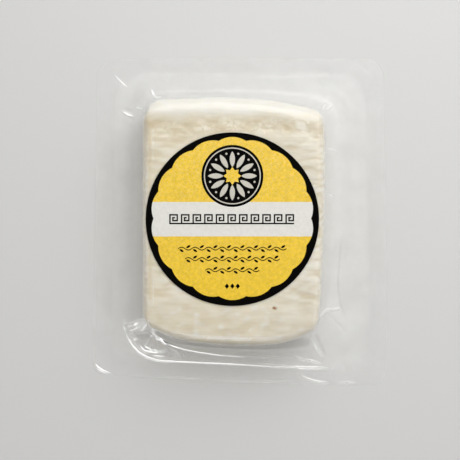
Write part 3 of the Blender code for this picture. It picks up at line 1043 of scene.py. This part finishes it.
# %% Lay out the backing film
BACKING_LEVEL = 0.15 * MM
BACKING_SPACING = 6.0 * MM
BACKING_INSETS = [FLANGE_WIDTH + RIM_ROLL] + [FLANGE_WIDTH * share for share in FLANGE_ROWS]

hem = -SKIRT_STEP * (len(BACKING_INSETS) - 1)
z_cuts = [-SKIRT_STEP * i for i in range(1, len(BACKING_INSETS) - 1)]
lower_film = cut_box("lower_film", hem, 0.0, BACKING_SPACING, z_cuts)
open_bottom(lower_film, hem)
sealed = []
for vertex in lower_film.data.vertices:
    row = round(-vertex.co.z / SKIRT_STEP)
    u = vertex.co.x / X_RANGE[1]
    v = vertex.co.y / Y_RANGE[1]
    out = max(abs(u), abs(v), 0.001)
    edge = pack_point(u / out, v / out, BACKING_INSETS[row])
    place = PACK_SHIFT.lerp(edge, min(1.0, out))
    vertex.co = place + Vector((0.0, 0.0, BACKING_LEVEL))
    sealed.append(1.0 if row > 0 else 0.0)
attribute(lower_film, "sealed", sealed)
make_finer(lower_film, 1)
turn_edge_down(lower_film)
for name in ("clinging", "paleness", "painted_shade", "crease"):
    attribute(lower_film, name, np.zeros(len(lower_film.data.vertices)))
smooth(lower_film, 60)
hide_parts("backing_film")
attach(lower_film, "root")
say(lower_film)

# %% [markdown]
# ## Clear film
#
# Film lets nearly all light through and mirrors a little, more at a slant. A glass shader
# would bend light twice in a sheet thinner than a hair, for nothing. So the shader is built in
# layers. The lowest is clear, a little grey where the film is steep, and grey with painted shade
# where it hangs deep. White haze lies on it, stronger on loose film, on the steep wall, where it
# is painted sheen, and along the folds, where it is partly painted highlight. A soft mirror is on
# top, and grows with the slant and on the creases. Light for other surfaces passes straight
# through, which keeps the film from throwing a shadow that real film doesn't throw.

# %% The film's material
HAZE_OPEN = 0.15
HAZE_SEALED = 0.07
# white haze on steep film, which is painted sheen in place of the light it mirrors
STEEP_PAINTED_SHEEN = 0.5
HAZE_CREASE = 0.85
MIRROR_FLAT = 0.04
MIRROR_SLANT = 0.93
MIRROR_CREASE = 0.36
ROUGHNESS_LOOSE = 0.26
ROUGHNESS_CHANGE = -0.04  # from loose film to film that clings
WRINKLE_SCALE = 170.0
CLOUDING_SCALE = 90.0
FILM_CLEAR = (1.0, 1.0, 1.0, 1.0)
FILM_STEEP = (0.95, 0.95, 0.94, 1.0)
# the grey painted into the film as shade where it lies deep
FILM_PAINTED_SHADE = (0.66, 0.65, 0.625, 1.0)
FILM_MILK_AND_SHEEN = (0.95, 0.95, 0.93, 1.0)


def film_material():
    add, finish = blank_material("clear film")
    place = add("TexCoord").outputs["Object"]
    clinging, sealed, paleness = kept_numbers(add, "clinging", "sealed", "paleness")
    painted_shade, crease = kept_numbers(add, "painted_shade", "crease")
    turned = add("LayerWeight", {"Blend": 0.5}).outputs["Facing"]
    # The clear layer, a little greyer where the film is steep, and grey with painted shade where it
    # lies deep
    steep = work_out(add, "POWER", turned, 2.0)
    tint = mix(add, painted_shade, mix(add, steep, FILM_CLEAR, FILM_STEEP), FILM_PAINTED_SHADE)
    seen = add("BsdfTransparent", {"Color": tint})
    # The haze: the strongest of loose film, steep film, where it is painted sheen, and creased film,
    # where it is partly painted highlight
    milk_and_sheen = add("BsdfPrincipled", {"Base Color": FILM_MILK_AND_SHEEN, "Roughness": 0.4})
    clouding = add("TexNoise", {"Vector": place, "Scale": CLOUDING_SCALE, "Detail": 5.0})
    haze = work_out(add, "MULTIPLY_ADD", sealed, HAZE_SEALED - HAZE_OPEN, HAZE_OPEN)
    haze = work_out(add, "MULTIPLY", haze, work_out(add, "MULTIPLY", clouding.outputs["Fac"], 2.0))
    haze = work_out(add, "MULTIPLY", haze, work_out(add, "SUBTRACT", 1.0, clinging))
    haze = work_out(add, "MAXIMUM", haze, work_out(add, "MULTIPLY", steep, STEEP_PAINTED_SHEEN))
    haze = work_out(add, "MAXIMUM", haze, work_out(add, "MULTIPLY", paleness, HAZE_CREASE))
    hazy = add("MixShader", {0: haze, 1: seen.outputs[0], 2: milk_and_sheen.outputs[0]})
    # The soft mirror on top
    glance = work_out(add, "POWER", turned, 5.0)
    glance = work_out(add, "MULTIPLY_ADD", glance, MIRROR_SLANT, MIRROR_FLAT)
    creased = work_out(add, "POWER", crease, 1.5)
    mirror = work_out(add, "MULTIPLY_ADD", creased, MIRROR_CREASE, glance)
    roughness = work_out(add, "MULTIPLY_ADD", clinging, ROUGHNESS_CHANGE, ROUGHNESS_LOOSE)
    wrinkle = add("TexNoise", {"Vector": place, "Scale": WRINKLE_SCALE, "Detail": 3.0})
    bump = add("Bump", {"Height": wrinkle.outputs["Fac"], "Strength": 0.35, "Distance": 0.6 * MM})
    gloss = add("BsdfPrincipled", {
        "Base Color": FILM_CLEAR,
        "Metallic": 1.0,
        "Roughness": roughness,
        "Normal": bump.outputs[0],
    })
    sheet = add("MixShader", {0: mirror, 1: hazy.outputs[0], 2: gloss.outputs[0]})
    # Light for other surfaces passes straight through
    clear = add("BsdfTransparent", {"Color": FILM_CLEAR})
    ray = add("LightPath")
    passing = work_out(add, "MAXIMUM", ray.outputs["Is Shadow Ray"], ray.outputs["Is Diffuse Ray"])
    shader = add("MixShader", {0: passing, 1: sheet.outputs[0], 2: clear.outputs[0]})
    return finish(shader.outputs[0])


CLEAR_FILM = film_material()
for film in (upper_film, lower_film):
    dress(film, CLEAR_FILM)

# %% [markdown]
# ## The label
#
# The label is a round paper sticker. Its print is a yellow field with a scalloped edge on a
# black ring, a white band across the middle and a round black emblem. The fields of colour are
# faces of the sheet itself, so they can't slip, and the small ornaments are thin layers of ink.

# %% Sizes of the label
LABEL_LIFT = 0.52 * MM
LABEL_THICKNESS = 0.16 * MM
LABEL_RINGS = (0.93, 0.8, 0.66, 0.5, 0.34, 0.18, 0.05)
LOBES = 18
LOBE_PEAK = 0.940
LOBE_CUSP = 0.908
FIELD_SHIFT = 0.25 * MM
BAND_HALF = 6.6 * MM
EMBLEM_PLACE = 16.6 * MM
EMBLEM_RADIUS = 11.9 * MM
INK = 0.04 * MM
print("label", round(2000 * LABEL_RADIUS, 1), "mm across, band", round(2000 * BAND_HALF, 1), "mm")


def label_level(x, y):
    """Height of the label's underside here, on top of the film."""
    local = Vector((x, y, 0.0)) - BLOCK_CENTRE - PACK_SHIFT
    return BLOCK_FOOT + Z_RANGE[1] + top_relief(local.x, local.y) + LABEL_LIFT


def scallop_radius(angle):
    """Radius of the scalloped edge: each lobe is an arc of a circle between two cusps."""
    half = math.pi / LOBES
    turn = angle % (2 * half) - half
    cusp = Vector((LOBE_CUSP * math.cos(half), LOBE_CUSP * math.sin(half)))
    rise = LOBE_PEAK - cusp.x
    arc = (rise**2 + cusp.y**2) / (2 * rise)
    middle = LOBE_PEAK - arc
    radius = middle * math.cos(turn) + math.sqrt(arc**2 - (middle * math.sin(turn)) ** 2)
    return radius * LABEL_RADIUS


# %% The label's sheet
CIRCLE_POINTS = 360


def rings_inward(piece, shares):
    """Insets the only face of a flat disc again and again, to these shares of its radius."""
    radius = piece.data.vertices[0].co.length
    edit(piece)
    bpy.ops.mesh.select_all(action="SELECT")
    last = 1.0
    for share in shares:
        bpy.ops.mesh.inset(thickness=(last - share) * radius)
        last = share
    done()


deselect_all()
bpy.ops.mesh.primitive_circle_add(vertices=CIRCLE_POINTS, radius=LABEL_RADIUS, fill_type="NGON")
label = bpy.context.object
label.name = "label_sheet"
rings_inward(label, LABEL_RINGS)
field_radius = LABEL_RINGS[0] * LABEL_RADIUS
for vertex in label.data.vertices:
    distance = math.hypot(vertex.co.x, vertex.co.y)
    if distance < 0.99 * LABEL_RADIUS:
        angle = math.atan2(vertex.co.y, vertex.co.x)
        share = distance / field_radius
        full = scallop_radius(angle) / field_radius
        vertex.co *= 1.0 + (full - 1.0) * clamp(2.0 * share - 1.0, 0.0, 1.0)
        vertex.co.y += FIELD_SHIFT * min(1.0, share)
edit(label)
slice_across(1, (-BAND_HALF, BAND_HALF))
done()
say(label)


# %% Printed colours
FIBRE_SCALE = 900.0
LACE_SCALE = 1100.0
LACE_NEAR = 0.04
LACE_FAR = 0.30
YELLOW_TONE = (0.86, 0.57, 0.022)
BLACK_TONE = (0.0014, 0.0011, 0.001)
PAPER_TONE = (0.77, 0.755, 0.705)
CREAM_TONE = (0.60, 0.57, 0.50)


def ink_material(name, colour, roughness=0.5, shine=0.3, speckle=0.0):
    """Ink on satin paper. A speckle lays a fine filigree of paler ink over it, fainter near us, so that
    the ink is paler towards the far end: painted light.
    """
    add, finish = blank_material(name)
    place = add("TexCoord").outputs["Object"]
    fibre = add("TexNoise", {"Vector": place, "Scale": FIBRE_SCALE, "Detail": 3.0})
    dark = tuple(channel * (0.94 - speckle) for channel in colour)
    light = tuple(min(1.0, channel * (1.0 + speckle)) for channel in colour)
    tone = ramp(add, fibre.outputs["Fac"], (0.35, dark), (0.65, light))
    if speckle:
        cells = add("TexVoronoi", {"Vector": place, "Scale": LACE_SCALE}, feature="DISTANCE_TO_EDGE")
        lace = ramp(add, cells.outputs["Distance"], (0.02, grey(1.0)), (0.16, grey(0.0)))
        paler = tuple(0.55 * channel + 0.45 for channel in colour)
        # painted light: the paler lace grows towards the far end, which the light faces
        along = add("SeparateXYZ", {"Vector": place}).outputs["Y"]
        fade = add("MapRange", {
            "Value": along, "From Min": -LABEL_RADIUS, "From Max": LABEL_RADIUS,
            "To Min": LACE_NEAR, "To Max": LACE_FAR}).outputs[0]
        tone = mix(add, work_out(add, "MULTIPLY", lace, fade), tone, (*paler, 1.0))
    bump = add("Bump", {"Height": fibre.outputs["Fac"], "Strength": 0.1, "Distance": 0.05 * MM})
    shader = add("BsdfPrincipled", {
        "Base Color": tone,
        "Roughness": roughness,
        "Specular IOR Level": shine,
        "Normal": bump.outputs[0],
    })
    return finish(shader.outputs[0])


YELLOW = ink_material("yellow ink", YELLOW_TONE, speckle=0.05)
BLACK = ink_material("black ink", BLACK_TONE, roughness=0.55, shine=0.04)
WHITE = ink_material("white paper", PAPER_TONE)
CREAM = ink_material("cream ink", CREAM_TONE)

dress(label, BLACK, YELLOW, WHITE)
for face in label.data.polygons:
    x, y = face.center.x, face.center.y
    reach = math.hypot(x, y - FIELD_SHIFT)
    inside = reach < scallop_radius(math.atan2(y - FIELD_SHIFT, x)) - 0.02 * MM
    face.material_index = 0 if not inside else 2 if abs(y) < BAND_HALF else 1

# %% Lay the label on the film
for vertex in label.data.vertices:
    vertex.co += LABEL_CENTRE
    vertex.co.z = label_level(vertex.co.x, vertex.co.y)
thick = label.modifiers.new("thick", "SOLIDIFY")
thick.thickness = LABEL_THICKNESS
thick.offset = 1.0
apply_all(label)
smooth(label, 30)
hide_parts("label")
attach(label, "root")
say(label)

# %% [markdown]
# ## The ornaments
#
# A key frieze fills the white band, three running vines lie below it and three lozenges close
# the design. The frieze is drawn as on squared paper: a grid, with the cells that aren't
# in the pattern deleted. A vine is a waved strip with a leaf in each bend.

# %% Ink laid on the label
def lay_ink(piece, centre, ink, layers=1):
    """Moves a flat drawing to its place on the label, bends it to the label and inks it."""
    settle(piece)
    for vertex in piece.data.vertices:
        vertex.co += LABEL_CENTRE + Vector((centre[0], centre[1], 0.0))
        level = label_level(vertex.co.x, vertex.co.y)
        vertex.co.z = level + LABEL_THICKNESS + INK * layers
    dress(piece, ink)
    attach(piece, "root")
    say(piece)


# %% The key frieze
KEY = (
    "######..",
    "#....#..",
    "#.##.#..",
    "#.#..#..",
    "#.####..",
    "#.......",
    "########",
)
KEYS = 11
GAP = 2
CELL = 3.9 * MM / len(KEY)
FRIEZE_PLACE = (0.3 * MM, 0.0)

columns = KEYS * len(KEY[0])
deselect_all()
bpy.ops.mesh.primitive_grid_add(x_subdivisions=columns, y_subdivisions=len(KEY), size=1.0)
frieze = bpy.context.object
frieze.name = "key_frieze"
frieze.scale = (columns * CELL, len(KEY) * CELL, 1.0)
settle(frieze)
blank = []
for face in frieze.data.polygons:
    column = int((face.center.x + columns * CELL / 2) / CELL)
    row = int((len(KEY) * CELL / 2 - face.center.y) / CELL)
    blank.append(KEY[row][column % len(KEY[0])] == "." or column >= columns - GAP)
delete_faces(frieze, blank)
lay_ink(frieze, FRIEZE_PLACE, BLACK)

# %% Flat shapes to draw with
def flat_disc(name, radius, points=96):
    deselect_all()
    bpy.ops.mesh.primitive_circle_add(vertices=points, radius=radius, fill_type="NGON")
    made = bpy.context.object
    made.name = name
    return made


def leaf(name, length, width, centre, turn=0.0):
    """A flat leaf with two pointed ends, along Y before it is turned."""
    made = flat_disc(name, 1.0, 24)
    for vertex in made.data.vertices:
        side = vertex.co.x
        vertex.co.x = side * abs(side) ** 0.6 * width / 2
        vertex.co.y *= length / 2
    made.rotation_euler.z = turn
    made.location = (centre[0], centre[1], 0.0)
    settle(made)
    return made


def repeat_round(piece, count):
    """Repeats a drawing evenly round the origin."""
    edit(piece)
    bpy.ops.mesh.select_all(action="SELECT")
    share = (count - 1) / count
    bpy.ops.mesh.spin(steps=count - 1, dupli=True, angle=2 * math.pi * share,
                      center=(0.0, 0.0, 0.0), axis=(0.0, 0.0, 1.0))
    done()


def repeat_along(piece, count, step):
    """Repeats a drawing along X and centres the row on the origin."""
    row = piece.modifiers.new("row", "ARRAY")
    row.count = count
    row.use_relative_offset = False
    row.use_constant_offset = True
    row.constant_offset_displace = (step, 0.0, 0.0)
    apply_all(piece)
    piece.location.x -= step * (count - 1) / 2
    settle(piece)


def join(pieces, name):
    work_on(pieces[0])
    for piece in pieces:
        piece.select_set(True)
    bpy.ops.object.join()
    pieces[0].name = name
    return pieces[0]


# %% The running vines
VINE_PLACES = ((-11.3 * MM, 8), (-15.3 * MM, 7), (-19.6 * MM, 4))
VINE_WAVE = 5.2 * MM
VINE_RISE = 0.55 * MM
VINE_STROKE = 0.36 * MM
STEM_STEPS = 24
LEAF_LENGTH = 1.9 * MM
LEAF_WIDTH = 0.85 * MM
LEAF_OFFSET = 0.75 * MM
LEAF_LEAN = math.radians(-58)

for i, (vine_y, waves) in enumerate(VINE_PLACES):
    deselect_all()
    bpy.ops.mesh.primitive_grid_add(x_subdivisions=STEM_STEPS * waves, y_subdivisions=1, size=1.0)
    stem = bpy.context.object
    stem.scale = (waves * VINE_WAVE, VINE_STROKE, 1.0)
    settle(stem)
    for vertex in stem.data.vertices:
        start = vertex.co.x + waves * VINE_WAVE / 2
        vertex.co.y += VINE_RISE * math.sin(2 * math.pi * start / VINE_WAVE)
    leaves = []
    for name, side in (("upper_leaf", 1), ("lower_leaf", -1)):
        made = leaf(name, LEAF_LENGTH, LEAF_WIDTH, (0.0, side * LEAF_OFFSET), side * LEAF_LEAN)
        repeat_along(made, waves, VINE_WAVE)
        made.location.x = side * VINE_WAVE / 4
        settle(made)
        leaves.append(made)
    lay_ink(join([stem, *leaves], "vine_" + str(i + 1)), (0.0, vine_y), BLACK)

# %% The lozenges
LOZENGES = 3
LOZENGES_Y = -25.7 * MM
LOZENGE_STEP = 2.1 * MM
LOZENGE_HALF = 1.05 * MM
LOZENGE_SLIM = 0.8

lozenges = flat_disc("lozenges", LOZENGE_HALF, 4)
lozenges.scale = (LOZENGE_SLIM, 1.0, 1.0)
settle(lozenges)
repeat_along(lozenges, LOZENGES, LOZENGE_STEP)
lay_ink(lozenges, (0.0, LOZENGES_Y), BLACK)

# %% [markdown]
# ## The emblem
#
# The round emblem is a plain rosette of the kind that carvers cut: twelve petals round a yellow
# star, with a dot between each two tips and a thin ring. One petal and one dot are
# drawn, and Spin repeats them.

# %% The rosette
PETALS = 12
PETAL_MIDDLE = 0.54 * EMBLEM_RADIUS
PETAL_LENGTH = 0.50 * EMBLEM_RADIUS
PETAL_WIDTH = 0.17 * EMBLEM_RADIUS
DOT_PLACE = 0.74 * EMBLEM_RADIUS
DOT_RADIUS = 0.035 * EMBLEM_RADIUS
DOT_CORNERS = 12
RING_PLACE = 0.90 * EMBLEM_RADIUS
RING_STROKE = 0.035 * EMBLEM_RADIUS
STAR_POINTS = 8
STAR_RADIUS = 0.29 * EMBLEM_RADIUS
STAR_WAIST = 0.68
DISC_RINGS = (0.8, 0.6, 0.4, 0.2)

disc = flat_disc("emblem_disc", EMBLEM_RADIUS)
rings_inward(disc, DISC_RINGS)
lay_ink(disc, (0.0, EMBLEM_PLACE), BLACK)

petals = leaf("emblem_petals", PETAL_LENGTH, PETAL_WIDTH, (0.0, PETAL_MIDDLE))
repeat_round(petals, PETALS)

dots = flat_disc("emblem_dots", DOT_RADIUS, DOT_CORNERS)
dots.location.y = DOT_PLACE
settle(dots)
dots.rotation_euler.z = math.pi / PETALS
settle(dots)
repeat_round(dots, PETALS)

ring = flat_disc("emblem_ring", RING_PLACE + RING_STROKE / 2)
rings_inward(ring, (1.0 - RING_STROKE / RING_PLACE,))
delete_faces(ring, [face.center.length < RING_PLACE / 2 for face in ring.data.polygons])
lay_ink(join([petals, dots, ring], "emblem_rosette"), (0.0, EMBLEM_PLACE), CREAM, 2)

star = flat_disc("emblem_star", STAR_RADIUS, 2 * STAR_POINTS)
for i, vertex in enumerate(star.data.vertices):
    vertex.co *= STAR_WAIST if i % 2 else 1.0
lay_ink(star, (0.0, EMBLEM_PLACE), YELLOW, 2)

# %% [markdown]
# ## Table, light and camera
#
# The table is plain and pale. A soft light, as from a window, stands beyond the far end and a
# little to the right. A larger one overhead lifts the shadows and is kept out of the gloss,
# where it would lie as a grey veil. A low one at the near left is seen only in the gloss, where
# it draws the folds. The sky fills in the rest, and is dark straight up, so that flat film has
# nothing bright to mirror. The camera looks straight down.

# %% The table
TABLE_SIZE = 6.0
TABLE_LEVEL = -0.1 * MM
TABLE_TONE = (0.655, 0.652, 0.645, 1.0)

deselect_all()
bpy.ops.mesh.primitive_plane_add(size=TABLE_SIZE, location=(0.0, 0.0, TABLE_LEVEL))
table = bpy.context.object
table.name = "table_top"
add, finish = blank_material("pale table")
surface = add("BsdfPrincipled", {"Base Color": TABLE_TONE, "Roughness": 0.6})
dress(table, finish(surface.outputs[0]))

# %% The sky
SKY_STRENGTH = 0.54
# How steeply upwards the sky is still bright, and from where it is dark, with the tones
SKY_BRIGHT = (0.78, (1.0, 0.99, 0.97, 1.0))
SKY_DARK = (0.92, (0.08, 0.08, 0.08, 1.0))

world = bpy.data.worlds.new("sky")
bpy.context.scene.world = world
world.use_nodes = True
sky = world.node_tree
direction = sky.nodes.new("ShaderNodeTexCoord")
upward = sky.nodes.new("ShaderNodeSeparateXYZ")
shade = sky.nodes.new("ShaderNodeValToRGB")
for element, (position, tone) in zip(shade.color_ramp.elements, (SKY_BRIGHT, SKY_DARK)):
    element.position = position
    element.color = tone
sky.links.new(direction.outputs["Generated"], upward.inputs[0])
sky.links.new(upward.outputs["Z"], shade.inputs["Fac"])
sky.links.new(shade.outputs["Color"], sky.nodes["Background"].inputs["Color"])
sky.nodes["Background"].inputs["Strength"].default_value = SKY_STRENGTH
print("sky strength", SKY_STRENGTH)

# %% The lights
# Azimuth and elevation in degrees, distance and size in metres, and radiance of each light.
# Azimuth 0 is beyond the far end, and 90 is right.
WINDOW = (22.0, 46.0, 0.52, (0.54, 0.44), 2.05)
OVERHEAD = (75.0, 78.0, 0.9, (0.90, 0.90), 1.15)
REFLECTOR = (213.0, 36.0, 0.85, (1.00, 0.42), 2.0)


def soft_light(name, azimuth, elevation, distance, size, radiance):
    """A large area light that looks at the pack."""
    a = math.radians(azimuth)
    e = math.radians(elevation)
    place = Vector((math.sin(a) * math.cos(e), math.cos(a) * math.cos(e), math.sin(e))) * distance
    power = radiance * math.pi * size[0] * size[1]
    data = bpy.data.lights.new(name, "AREA")
    data.shape = "RECTANGLE"
    data.size, data.size_y = size
    data.energy = power
    made = bpy.data.objects.new(name, data)
    bpy.context.collection.objects.link(made)
    made.location = place
    made.rotation_euler = place.to_track_quat("Z", "Y").to_euler()
    print(name, round(power, 2), "W")
    return made


soft_light("window", *WINDOW)
overhead = soft_light("overhead", *OVERHEAD)
overhead.visible_glossy = False
reflector = soft_light("reflector", *REFLECTOR)
reflector.visible_diffuse = False

# %% The camera
CAMERA_HEIGHT = 0.600
VIEW_CENTRE = (-4.2 * MM, -3.3 * MM)
VIEW_WIDTH = 0.1835

camera_data = bpy.data.cameras.new("camera")
camera = bpy.data.objects.new("camera", camera_data)
bpy.context.collection.objects.link(camera)
camera.location = (*VIEW_CENTRE, CAMERA_HEIGHT)
camera_data.lens = camera_data.sensor_width * CAMERA_HEIGHT / VIEW_WIDTH
camera_data.clip_start = 0.01
print("lens", round(camera_data.lens, 1), "mm, view", round(1000 * VIEW_WIDTH, 1), "mm wide")
bpy.context.scene.camera = camera
bpy.context.scene.view_settings.view_transform = "Standard"
